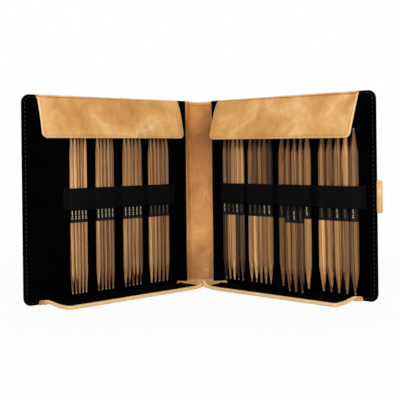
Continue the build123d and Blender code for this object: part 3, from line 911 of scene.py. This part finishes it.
def make_bottom_bridge(side):
    """The flap's root: thin under the needles, black above, leather below and in its end lips."""
    name = SIDE_NAMES[side]
    hinge = HINGE_N[side]
    inset, height = np.array(LIP_RINGS[:10])[::-1].T
    s = np.concatenate([BOTTOM_START + inset, np.linspace(25, 180, 24), FLAP_END - inset[::-1]])
    from_end = np.minimum(s - BOTTOM_START, FLAP_END - s)
    lip = (np.interp(from_end, inset, height) - 2.0) / (LIP_TOP - 2.0)
    # The lip at the spine's end is a tenth lower
    lip = np.clip(lip, 0, 1)[:, None] * np.where(s < 100, 0.9, 1.0)[:, None]
    upper = np.array([
        (-0.6, 2.2), (0.1, 0.7), (1.0, 0.5), (hinge / 2, 0.45), (hinge - 1.4, 0.6),
        (hinge + 0.4, 1.9), (hinge + 2.2, 2.12)])
    lower = np.array([(hinge + 2.2, 0.3), (hinge, 0.15), (hinge / 2, 0.1), (0.4, 0.1), (-0.6, 0.3)])
    loop = np.concatenate([upper, lower])
    full = np.concatenate([[3.0, 3.4] + [LIP_TOP] * 5, lower[:, 1]])
    # Under the needles the hump starts lower, so that they can slide down over it
    over_root = lip + (1 - lip) * np.clip(loop[:, 0] / hinge, 0, 1) ** 2
    hump = hump_height(s[:, None], loop[None, :, 0]) * over_root
    up = loop[:, 1] + lip * (full - loop[:, 1]) + hump
    points = spot(side, s[:, None], loop[None, :, 0], up)
    middle = (s[1:] + s[:-1]) / 2
    at_end = np.minimum((middle - BOTTOM_START) * 1.95 / 3.1, FLAP_END - middle) < 1.95
    kind = at_end[:, None] | (np.arange(len(loop)) >= len(upper) - 1)[None]
    root = make_piece(
        f"{name}_bottom_root", points, tube_faces(len(s), len(loop)), [black_lining, tan_leather],
        face_finish=np.append(kind.ravel(), [True, True]), smooth=50)
    start, end = spot(side, 0, hinge - 2, 1) / 1000, spot(side, 0, hinge + 2, 1) / 1000
    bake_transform(root)


for side in SIDE_NAMES:
    make_bottom_flap(side)
    make_bottom_bridge(side)
    print("inner corner at", np.round(spot(side, INNER_CORNER[side], BOTTOM_DEPTH, 0), 1), "mm")

# %% [markdown]
# ## Elastic bands
# One band per cover is sewn down beside every group of five needles and pulled tight over
# them, so it rises on a straight slope, follows the first needle, sags a hair between
# needles and comes down the same way. The path is worked out as points (s, n) and given
# its thickness both ways.

# %% Where the needles are
RUNNING_GAP = 0.3
LOOP_NUMBERS = {LEFT: (4, 3, 2, 1), RIGHT: (5, 6, 7, 8)}
LOW_NEEDLES = {"7b": 4.4, "7c": 4.4, "7d": 4.4}


def needle_places(side):
    """(s of the first and the last needle, diameter, number) of each loop, read off the frame."""
    fold, along = FRAMES[side][:2]
    rows = []
    for number in LOOP_NUMBERS[side]:
        ends = []
        for letter in "ae":
            low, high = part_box(f"needle_{number}{letter}")
            centre = 500 * (np.array(low) + np.array(high))
            ends.append(float((centre - fold)[:2] @ along[:2]))
        rows.append((ends[0], ends[1], 1000 * (high[0] - low[0]), number))
    return rows


for side in SIDE_NAMES:
    print([tuple(round(value, 2) for value in row) for row in needle_places(side)])

# %% The band's path and mesh
BAND_LOW, BAND_HIGH = 84.3, 105.1
BAND_HALF = 0.45
BAND_FOOT = 1.9
BAND_HEAD = {LEFT: 4.2, RIGHT: 0.0}
BAND_TAIL = {LEFT: 3.5, RIGHT: 3.0}
BAND_END_WIDTH = 3.0


def loop_path(first, last, diameter):
    """Points (s, n) of the band's middle over one loop, from foot to foot.

    From the foot a straight line touches the circle of radius R about the first needle at
    the angle of the foot less acos(R / distance); then the arc to its top; then the tops
    with a sag of 6% of the diameter, as sin^2 between needles; then the same mirrored.
    """
    radius = diameter / 2 + RUNNING_GAP + BAND_HALF
    height = RUNNING_GAP + diameter / 2
    foot = np.array([-radius - BAND_FOOT, BAND_HALF - height])
    angle = math.atan2(foot[1], foot[0]) % (2 * math.pi) - math.acos(radius / np.hypot(*foot))
    turn = np.linspace(angle, math.pi / 2, 7)
    rise = np.stack([radius * np.cos(turn), radius * np.sin(turn)], -1)
    rise = np.concatenate([[foot], rise])
    across = np.linspace(0, last - first, 33)[1:-1]
    pitch = (last - first) / 4
    tops = np.stack([across, radius - 0.06 * diameter * np.sin(np.pi * across / pitch) ** 2], -1)
    fall = rise[::-1] * [-1, 1] + [last - first, 0]
    return np.concatenate([rise, tops, fall]) + [first, height]


def make_elastic(side):
    """The band over a cover's four loops; it gives back the loops and the s of both its ends."""
    name = SIDE_NAMES[side]
    rows = needle_places(side)
    reach = RUNNING_GAP + 2 * BAND_HALF + BAND_FOOT
    start = rows[0][0] - rows[0][2] / 2 - reach - BAND_HEAD[side] - BAND_END_WIDTH
    end = rows[-1][1] + rows[-1][2] / 2 + reach + BAND_TAIL[side]
    path = [np.array([(start, BAND_HALF), (start + 1.2, BAND_HALF)])]
    path += [loop_path(*row[:3]) for row in rows]
    path += [np.array([(end - 1.2, BAND_HALF), (end, BAND_HALF)])]
    path = np.concatenate(path)
    out = normals_of(path)
    # Round the band's section: (share of the thickness out, height)
    z = np.array([
        BAND_LOW, BAND_LOW + 0.35, BAND_LOW + 2, 91, 98, BAND_HIGH - 2, BAND_HIGH - 0.35,
        BAND_HIGH])
    outer = np.array([0.2, 0.95, 1.15, 1.0, 1.0, 1.15, 0.95, 0.2])
    depth = BAND_HALF * np.concatenate([outer, -np.minimum(outer, 1)[::-1]])
    heights = np.concatenate([z, z[::-1]])
    flat = path[:, None] + out[:, None] * depth[None, :, None]
    points = spot(side, flat[..., 0], flat[..., 1], heights[None])
    band = make_piece(f"{name}_elastic_webbing", points, tube_faces(len(path), len(depth)),
                      [elastic_webbing], f"{name}_cover", smooth=50)
    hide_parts(f"{name}_elastic_band")
    return rows, start, end


def make_elastic_trim(side, rows, start, end):
    """End strips that bind the band's ends, and the seams that divide its loops."""
    name = SIDE_NAMES[side]
    inward = FRAMES[side][2]
    size = (BAND_END_WIDTH, BAND_HIGH - BAND_LOW + 0.6)
    rings = [
        (1.2, 1.75), (0.6, 1.7), (0.2, 1.5), (0.0, 1.1), (0.0, 0.3), (0.2, 0.0), (1.2, 0.0)]
    for label, first_s in (("inner", start), ("outer", end - BAND_END_WIDTH)):
        strip = make_panel(
            f"{name}_elastic_{label}_strip", size, 1.2, (False,) * 4, rings, (4, 16),
            lambda u, v, h: spot(side, first_s + u, h, BAND_LOW - 0.3 + v),
            [elastic_webbing], body=f"{name}_cover")
    heights = np.linspace(BAND_LOW + 1, BAND_HIGH - 1, 12)
    places = []
    for first, last, diameter, number in rows:
        reach = diameter / 2 + RUNNING_GAP + 2 * BAND_HALF + BAND_FOOT
        places += [first - reach + 0.6, last + reach - 0.6]
    for number, s in enumerate(places, 1):
        path = spot(side, s, 2 * BAND_HALF + 0.05, heights)
        seam = make_seam(f"{name}_elastic_seam_{number}", path, np.tile(inward, (12, 1)),
                         *BAND_STITCH, black_thread, f"{name}_cover")


for side in SIDE_NAMES:
    make_elastic_trim(side, *make_elastic(side))

# %% [markdown]
# ## Needles
# The needles are turned from densified birch: dyed veneers, a little over 1 mm thick, pressed
# with resin into a block. So each needle shows straight stripes of two or three browns
# down its length, which open into long points where the taper cuts them. The stripes are
# the distance across the veneers, shared into layers; a slight tilt lets a layer run out
# along the needle. Every needle was cut elsewhere in the block, so each has its own dyes.
# Below the band each has a printed charcoal sleeve.

# %% Dyes of each needle, above and below the band
# Eight dyes, from nearly black umber to pale maple
VENEER_DYES = (
    "#41352A", "#624C37", "#785B3E", "#8B6948", "#9C7751", "#A98259", "#B79165", "#CCA171")
# How pale each of a loop's five needles is, above the band and below it: 0 is the darkest dye
LOOP_DYES = {
    1: ("65476", "44455"), 2: ("34445", "23325"), 3: ("34354", "14334"), 4: ("33334", "32346"),
    5: ("21666", "05701"), 6: ("31220", "57444"), 7: ("32334", "23316"), 8: ("32362", "74532")}
NEEDLE_LENGTH = 152.4
SLEEVE_MIDDLE = 81.75
SLEEVE_HALF = 9.15


def densified_birch(name, centre, upper, lower, drop, turn):
    """Stripes: layer noise of (x cos t + y sin t + tilt z) / 1.1 mm over the needle's own dyes.

    drop is how far the needle and its sleeve hang lower, and turn is t.
    """
    material, tree, shader, place = new_material(f"densified_birch_{name}")
    moved = add_node(tree, "ShaderNodeMapping", {
        "Vector": place, "Location": (-centre[0], -centre[1], -CASE_HEIGHT / 2)},
        vector_type="POINT")
    tilted = add_node(tree, "ShaderNodeMapping", {
        "Vector": moved.outputs[0], "Rotation": (math.radians(0.6), math.radians(0.9), turn)})
    parts = add_node(tree, "ShaderNodeSeparateXYZ", {"Vector": tilted.outputs[0]})
    layers = add_node(tree, "ShaderNodeTexNoise", {
        "W": parts.outputs["X"], "Scale": 1 / 1.1, "Detail": 2.5, "Roughness": 0.65},
        noise_dimensions="1D")
    streak = add_node(tree, "ShaderNodeMapping", {
        "Vector": tilted.outputs[0], "Scale": (1.0, 1.0, 0.03)})
    fibres = add_node(tree, "ShaderNodeTexNoise", {
        "Vector": streak.outputs[0], "Scale": 1 / 0.35, "Detail": 4.0, "Roughness": 0.6})
    # The lower tone goes over into the upper one behind the band, sooner or later by layer
    heights = add_node(tree, "ShaderNodeSeparateXYZ", {"Vector": place})
    slanted = add_node(tree, "ShaderNodeMath", {
        0: layers.outputs["Fac"], 1: 40.0, 2: heights.outputs["Z"]}, operation="MULTIPLY_ADD")
    which = add_node(tree, "ShaderNodeMapRange", {
        "Value": slanted.outputs[0], "From Min": 104.0, "From Max": 122.0},
        interpolation_type="SMOOTHSTEP")
    wood = add_node(tree, "ShaderNodeMix", {
        0: which.outputs[0], 6: linear(lower), 7: linear(upper)}, data_type="RGBA").outputs[2]
    stripe = add_node(tree, "ShaderNodeValToRGB", {"Fac": layers.outputs["Fac"]}, stops=[
        (0.38, "#8A6650"), (0.47, "#CDBFB2"), (0.53, "#E6DDD2"), (0.62, "#FFFFFF")])
    thread = add_node(tree, "ShaderNodeMapRange", {
        "Value": fibres.outputs["Fac"], "From Min": 0.3, "From Max": 0.7,
        "To Min": 1.2, "To Max": 1.8})
    layered = add_node(tree, "ShaderNodeVectorMath", {
        0: wood, 1: stripe.outputs["Color"]}, operation="MULTIPLY")
    striped = add_node(tree, "ShaderNodeVectorMath", {
        0: layered.outputs[0], "Scale": thread.outputs[0]}, operation="SCALE").outputs[0]
    # Paler wood at the very tips, about 1.5 mm long
    to_middle = add_node(tree, "ShaderNodeMath", {
        0: heights.outputs["Z"], 1: float(centre[2])}, operation="SUBTRACT").outputs[0]
    way = add_node(tree, "ShaderNodeMath", {0: to_middle}, operation="ABSOLUTE").outputs[0]
    tip = add_node(tree, "ShaderNodeMapRange", {
        "Value": way, "From Min": NEEDLE_LENGTH / 2 - 2.2, "From Max": NEEDLE_LENGTH / 2 - 0.8,
        "To Max": 0.6}).outputs[0]
    striped = add_node(tree, "ShaderNodeMix", {
        0: tip, 6: striped, 7: linear("#C6B6A2")}, data_type="RGBA").outputs[2]
    # The printed sleeve, between 72.5 and 91 mm up: 1 inside, 0 outside, with a sharp edge
    from_middle = add_node(tree, "ShaderNodeMath", {
        0: heights.outputs["Z"], 1: SLEEVE_MIDDLE - drop}, operation="SUBTRACT").outputs[0]
    distance = add_node(tree, "ShaderNodeMath", {0: from_middle}, operation="ABSOLUTE").outputs[0]
    printed = add_node(tree, "ShaderNodeMapRange", {
        "Value": distance, "From Min": SLEEVE_HALF, "From Max": SLEEVE_HALF + 0.15,
        "To Min": 1.0, "To Max": 0.0}).outputs[0]
    colour = add_node(tree, "ShaderNodeMix", {
        0: printed, 6: striped, 7: linear("#110F0D")}, data_type="RGBA").outputs[2]
    bump = add_node(tree, "ShaderNodeBump", {
        "Height": fibres.outputs["Fac"], "Strength": 0.12, "Distance": 0.0001})
    rough = add_node(tree, "ShaderNodeMapRange", {
        "Value": printed, "To Min": 0.4, "To Max": 0.65}).outputs[0]
    set_inputs(tree, shader, {
        "Base Color": colour, "Roughness": rough, "Normal": bump.outputs["Normal"],
        "Specular IOR Level": 0.15})
    return material


chance = np.random.default_rng(7)
needle_axes = {}
for number, loop_dyes in LOOP_DYES.items():
    for letter, *levels in zip("abcde", *loop_dyes):
        name = f"{number}{letter}"
        low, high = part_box(f"needle_{name}")
        centre = 500 * (np.array(low) + np.array(high))
        needle_axes[name] = centre
        turn = chance.uniform(0, math.pi)
        drop = LOW_NEEDLES.get(name, 0.0)
        upper, lower = [VENEER_DYES[int(level)] for level in levels]
        for slot in frame["nodes"][f"needle_{name}"].material_slots:
            slot.material = densified_birch(name, centre, upper, lower, drop, turn)
print(len(needle_axes), "needles finished")

# %% [markdown]
# ## Size numbers
# Each needle has its thickness in millimetres stamped up its sleeve in pale foil, which
# wears off: on many needles it is bright, on the others it has gone dark. The digits are real
# text, made a thin mesh and wrapped on the needle, so that they stay on it as it slides.

# %% Foil digits wrapped on the needles
NEEDLE_SIZES = (3.5, 4, 4.5, 5, 5.5, 6, 7, 8)
SIZE_LABELS = {number: f"{size:.1f} mm" for number, size in enumerate(NEEDLE_SIZES, 1)}
FADED = set("4a 4b 4c 4d 4e 5b 5c 5e 6a 6b 6c 7a 7b 7d 8a 8b 8d".split())
LABEL_HEIGHT = 8.0
LABEL_MIDDLE = 79.9
LABEL_SQUEEZE = 0.72
# Radians round the needle, towards the camera
LABEL_TURN = 0.35


# Hot-stamped foil, broken up by wear
bright_foil, faded_foil = [
    one_noise(f"stamped_foil_{state}", 0.9, 3.0, [(0.35, dark), (0.6, light)],
              Metallic=metallic, Roughness=0.45)
    for state, dark, light, metallic in (
        ("bright", "#C4BC8A", "#FFF6C8", 0.0), ("faded", "#3A382F", "#75705A", 0.2))]


def digit_outline(text):
    """Vertices and faces of a thin centred text: x along it, y up it, z its thickness of 1."""
    curve = bpy.data.curves.new("digits", "FONT")
    curve.body, curve.size, curve.extrude = text, 1.0, 0.5
    curve.resolution_u = 3
    curve.align_x, curve.align_y = "CENTER", "CENTER"
    holder = bpy.data.objects.new("digits", curve)
    mesh = bpy.data.meshes.new_from_object(holder)
    points = np.empty(len(mesh.vertices) * 3)
    mesh.vertices.foreach_get("co", points)
    faces = [list(face.vertices) for face in mesh.polygons]
    bpy.data.objects.remove(holder)
    bpy.data.curves.remove(curve)
    bpy.data.meshes.remove(mesh)
    points = points.reshape(-1, 3)
    points[:, :2] -= (points[:, :2].min(axis=0) + points[:, :2].max(axis=0)) / 2
    return points, faces


outlines = {number: digit_outline(text) for number, text in SIZE_LABELS.items()}
for name, centre in needle_axes.items():
    number = int(name[0])
    side = LEFT if number in LOOP_NUMBERS[LEFT] else RIGHT
    points, faces = outlines[number]
    scale = LABEL_HEIGHT / np.ptp(points[:, 0])
    low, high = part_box(f"needle_{name}")
    radius = 500 * (high[0] - low[0])
    inward = FRAMES[side][2]
    facing = math.atan2(inward[1], inward[0]) + side * LABEL_TURN
    # Wrapped: along the text becomes up the needle, across it an angle y / r on its surface
    angle = facing + points[:, 1] * scale * LABEL_SQUEEZE / radius
    away = radius + 0.02 + 0.06 * (points[:, 2] + 0.5)
    wrapped = np.stack([
        centre[0] + away * np.cos(angle), centre[1] + away * np.sin(angle),
        LABEL_MIDDLE - LOW_NEEDLES.get(name, 0.0) + points[:, 0] * scale], -1)
    label = make_piece(f"needle_{name}_number", wrapped, faces,
                       [faded_foil if name in FADED else bright_foil], f"needle_{name}", smooth=30)
print(len(outlines), "different sizes stamped")

# %% [markdown]
# ## Strap and press stud
# The strap is sewn under the right cover's edge, turns round it and lies folded back
# behind the cover. It has three lengths: the loop round the edge, the bridge that spans
# the shut case, and the tongue with the stud's cap.

# %% The strap
STRAP_LOW, STRAP_HIGH = 80.5, 110.5
PLATE_N = -6.8
STRAP_HALF = 1.2


def make_strap(name, path, body=None, round_end=False):
    """A strap along (s, n) points; its section is a flat loop with rounded edges.

    A rounded end narrows as sqrt(1 - ((d - r) / r)^2) over the last r = 6 mm.
    """
    path = np.asarray(path, float)
    out = normals_of(path)
    width = STRAP_HIGH - STRAP_LOW
    steps = np.array([0.0, 0.3, 1.2, 1.9, 2.5, 6.0, 10.0, 15.0])
    from_edge = np.concatenate([steps, steps[-2::-1]])
    z = STRAP_LOW + np.concatenate([steps, width - steps[-2::-1]])
    share = np.sqrt(np.clip(1 - (1 - np.minimum(from_edge, 1.2) / 1.2) ** 2, 0.04, 1))
    share = share - 0.1 * np.exp(-((from_edge - 1.9) / 0.4) ** 2)
    depth = STRAP_HALF * np.concatenate([share, -share[::-1]])
    heights = np.tile(np.concatenate([z, z[::-1]]), (len(path), 1))
    depths = np.tile(depth, (len(path), 1))
    if round_end:
        left = lengths_along(path[::-1])[::-1]
        radius = 6.0
        back = np.clip(radius - left, 0, radius)
        cut = radius - np.sqrt(radius ** 2 - back ** 2)
        middle = (STRAP_LOW + STRAP_HIGH) / 2
        heights = middle + (heights - middle) * (1 - cut[:, None] / (width / 2))
        depths = depths * np.sqrt(np.clip(left / 1.2, 0.05, 1))[:, None]
    flat = path[:, None] + out[:, None] * depths[..., None]
    points = spot(RIGHT, flat[..., 0], flat[..., 1], heights)
    around = np.concatenate([from_edge, from_edge[::-1]])
    # Paler at the edges: wear, and a painted highlight on the rounded edges
    wear_and_highlight = np.tile(np.clip(1 - around / 1.3, 0, 1), (len(path), 1))
    return make_piece(name, points, tube_faces(len(path), len(depth)), [strap_leather], body,
                      wear_and_highlight=wear_and_highlight, smooth=50)


def loop_points():
    """Out of the cover's edge, half a turn of 1.95 mm radius, and back behind it."""
    turn = np.linspace(math.pi / 2, -math.pi / 2, 15)
    bend = np.stack([203.2 + 1.95 * np.cos(turn), -4.85 + 1.95 * np.sin(turn)], -1)
    return np.concatenate([
        [(199.0, -2.9), (201.5, -2.9)], bend, [(201.5, PLATE_N), (199.5, PLATE_N)]])


strap_loop = make_strap("strap_loop", loop_points())
tuple(spot(RIGHT, 203, -3.4, 95.5) / 1000)
tuple(spot(RIGHT, 203, -6.3, 95.5) / 1000)
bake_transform(strap_loop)
tip_pivot = 1000 * np.array(joints["strap_tip_fold"]["pos_m"])
TIP_S = float((tip_pivot - FRAMES[RIGHT][0]) @ FRAMES[RIGHT][1])
bridge_path = np.stack([np.linspace(199.4, TIP_S + 2.0, 12), np.full(12, PLATE_N)], -1)
strap_bridge = make_strap("strap_bridge_leather", bridge_path, "strap_bridge")
bend_path = np.stack([np.linspace(TIP_S + 3.0, TIP_S - 3.0, 9), np.full(9, PLATE_N)], -1)
strap_bend = make_strap("strap_bend", bend_path)
tuple(spot(RIGHT, TIP_S + 2.5, PLATE_N, 95.5) / 1000)
tuple(spot(RIGHT, TIP_S - 2.5, PLATE_N, 95.5) / 1000)
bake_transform(strap_bend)
to_end = 45 * (1 - np.linspace(0, 1, 26)[::-1] ** 1.5)
tongue_path = np.stack([TIP_S - 2.0 - to_end * 43 / 45, np.full(26, PLATE_N)], -1)
strap_tongue = make_strap("strap_tongue_leather", tongue_path, "strap_tongue", round_end=True)
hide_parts("strap_bridge")
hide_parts("strap_tongue")
for node in ("snap_socket", "snap_stud"):
    for slot in frame["nodes"][node].material_slots:
        slot.material = brass
print(f"strap bends at s = {TIP_S:.1f} mm")

# %% [markdown]
# ## Table, light and camera
# The photograph is taken against pure white in soft light. The floor and the sky are white
# to the camera and to shiny things only, while the light on the case stays at a plain
# level. The camera stands 0.93 m in front of the spine, level, a little above the middle
# of the case, and rolled by 0.7 degrees.

# %% A white floor that keeps the shadow
def white_to_the_eye(tree, seen):
    """1 where a ray comes from the camera, a mirror or glass, to mix in the plain white."""
    rays = add_node(tree, "ShaderNodeLightPath").outputs
    glossy = add_node(tree, "ShaderNodeMath", {
        0: rays["Is Camera Ray"], 1: rays["Is Glossy Ray"]}, operation="MAXIMUM")
    clear = add_node(tree, "ShaderNodeMath", {
        0: glossy.outputs[0], 1: rays["Is Transmission Ray"]}, operation="MAXIMUM")
    return add_node(tree, "ShaderNodeMath", {
        0: clear.outputs[0], 1: seen}, operation="MULTIPLY").outputs[0]


FLOOR_HALF, FLOOR_Z = 3000, -0.05
floor_points = np.array([
    (x * FLOOR_HALF, y * FLOOR_HALF, FLOOR_Z) for x, y in ((-1, -1), (1, -1), (1, 1), (-1, 1))])
floor_material, floor_tree, floor_shader, floor_place = new_material("pale_floor")
set_inputs(floor_tree, floor_shader, {"Base Color": linear("#F4F3F1"), "Roughness": 0.8})
glow = add_node(floor_tree, "ShaderNodeEmission", {"Color": (1, 1, 1, 1), "Strength": 1.0})
# The white grows from 92% beside the case, where its shadow falls, to all of it at 0.6 m
from_case = add_node(floor_tree, "ShaderNodeVectorMath", {
    0: floor_place}, operation="LENGTH").outputs["Value"]
whiteness = add_node(floor_tree, "ShaderNodeMapRange", {
    "Value": from_case, "From Min": 220.0, "From Max": 600.0,
    "To Min": 0.92, "To Max": 1.0}).outputs[0]
mixed = add_node(floor_tree, "ShaderNodeMixShader", {
    0: white_to_the_eye(floor_tree, whiteness), 1: floor_shader.outputs[0], 2: glow.outputs[0]})
floor_tree.links.new(mixed.outputs[0], floor_tree.nodes["Material Output"].inputs["Surface"])
floor = make_piece("pale_floor", floor_points, [[0, 1, 2, 3]], [floor_material])

world = bpy.data.worlds.new("soft_studio")
bpy.context.scene.world = world
world.use_nodes = True
sky = world.node_tree
soft = sky.nodes["Background"]
set_inputs(sky, soft, {"Color": linear("#FFFFFF"), "Strength": 0.22})
plain = add_node(sky, "ShaderNodeBackground", {"Color": (1, 1, 1, 1), "Strength": 1.0})
both = add_node(sky, "ShaderNodeMixShader", {
    0: white_to_the_eye(sky, 1.0), 1: soft.outputs[0], 2: plain.outputs[0]})
sky.links.new(both.outputs[0], sky.nodes["World Output"].inputs["Surface"])
print("floor and sky made")


# %% Lamps and camera
def add_lamp(name, place, target, size, power):
    """A square soft box at place (m) that looks at target."""
    lamp = bpy.data.lights.new(name, "AREA")
    lamp.size, lamp.energy = size, power
    holder = bpy.data.objects.new(name, lamp)
    away = np.array(place, float) - np.array(target, float)
    yaw = math.atan2(away[0], -away[1])
    tilt = math.atan2(math.hypot(away[0], away[1]), away[2])
    holder.location, holder.rotation_euler = place, (tilt, 0, yaw)
    bpy.context.scene.collection.objects.link(holder)


add_lamp("key_light", (-0.7, -1.3, 1.3), (0, -0.08, 0.1), 0.8, 18)
add_lamp("fill_light", (0.9, -1.4, 0.7), (0, -0.08, 0.1), 0.8, 12)
add_lamp("back_light", (0.2, 1.3, 1.2), (0, 0, 0.1), 1.2, 9)

camera_data = bpy.data.cameras.new("camera")
camera = bpy.data.objects.new("camera", camera_data)
bpy.context.scene.collection.objects.link(camera)
SENSOR_WIDTH = 36.0
FOCAL_PIXELS = 867.0
IMAGE_WIDTH = 400
CENTRE = (209.7, 152.1)
camera_data.sensor_width = SENSOR_WIDTH
camera_data.lens = SENSOR_WIDTH * FOCAL_PIXELS / IMAGE_WIDTH
camera_data.shift_x = (IMAGE_WIDTH / 2 - CENTRE[0]) / IMAGE_WIDTH
camera_data.shift_y = (CENTRE[1] - IMAGE_WIDTH / 2) / IMAGE_WIDTH
camera.location = (0.0095, -0.9258, 0.1375)
camera.rotation_euler = (math.radians(90), math.radians(0.7), 0)
bpy.context.scene.camera = camera
bpy.context.scene.view_settings.view_transform = "Standard"
print(f"lens {camera_data.lens:.1f} mm")
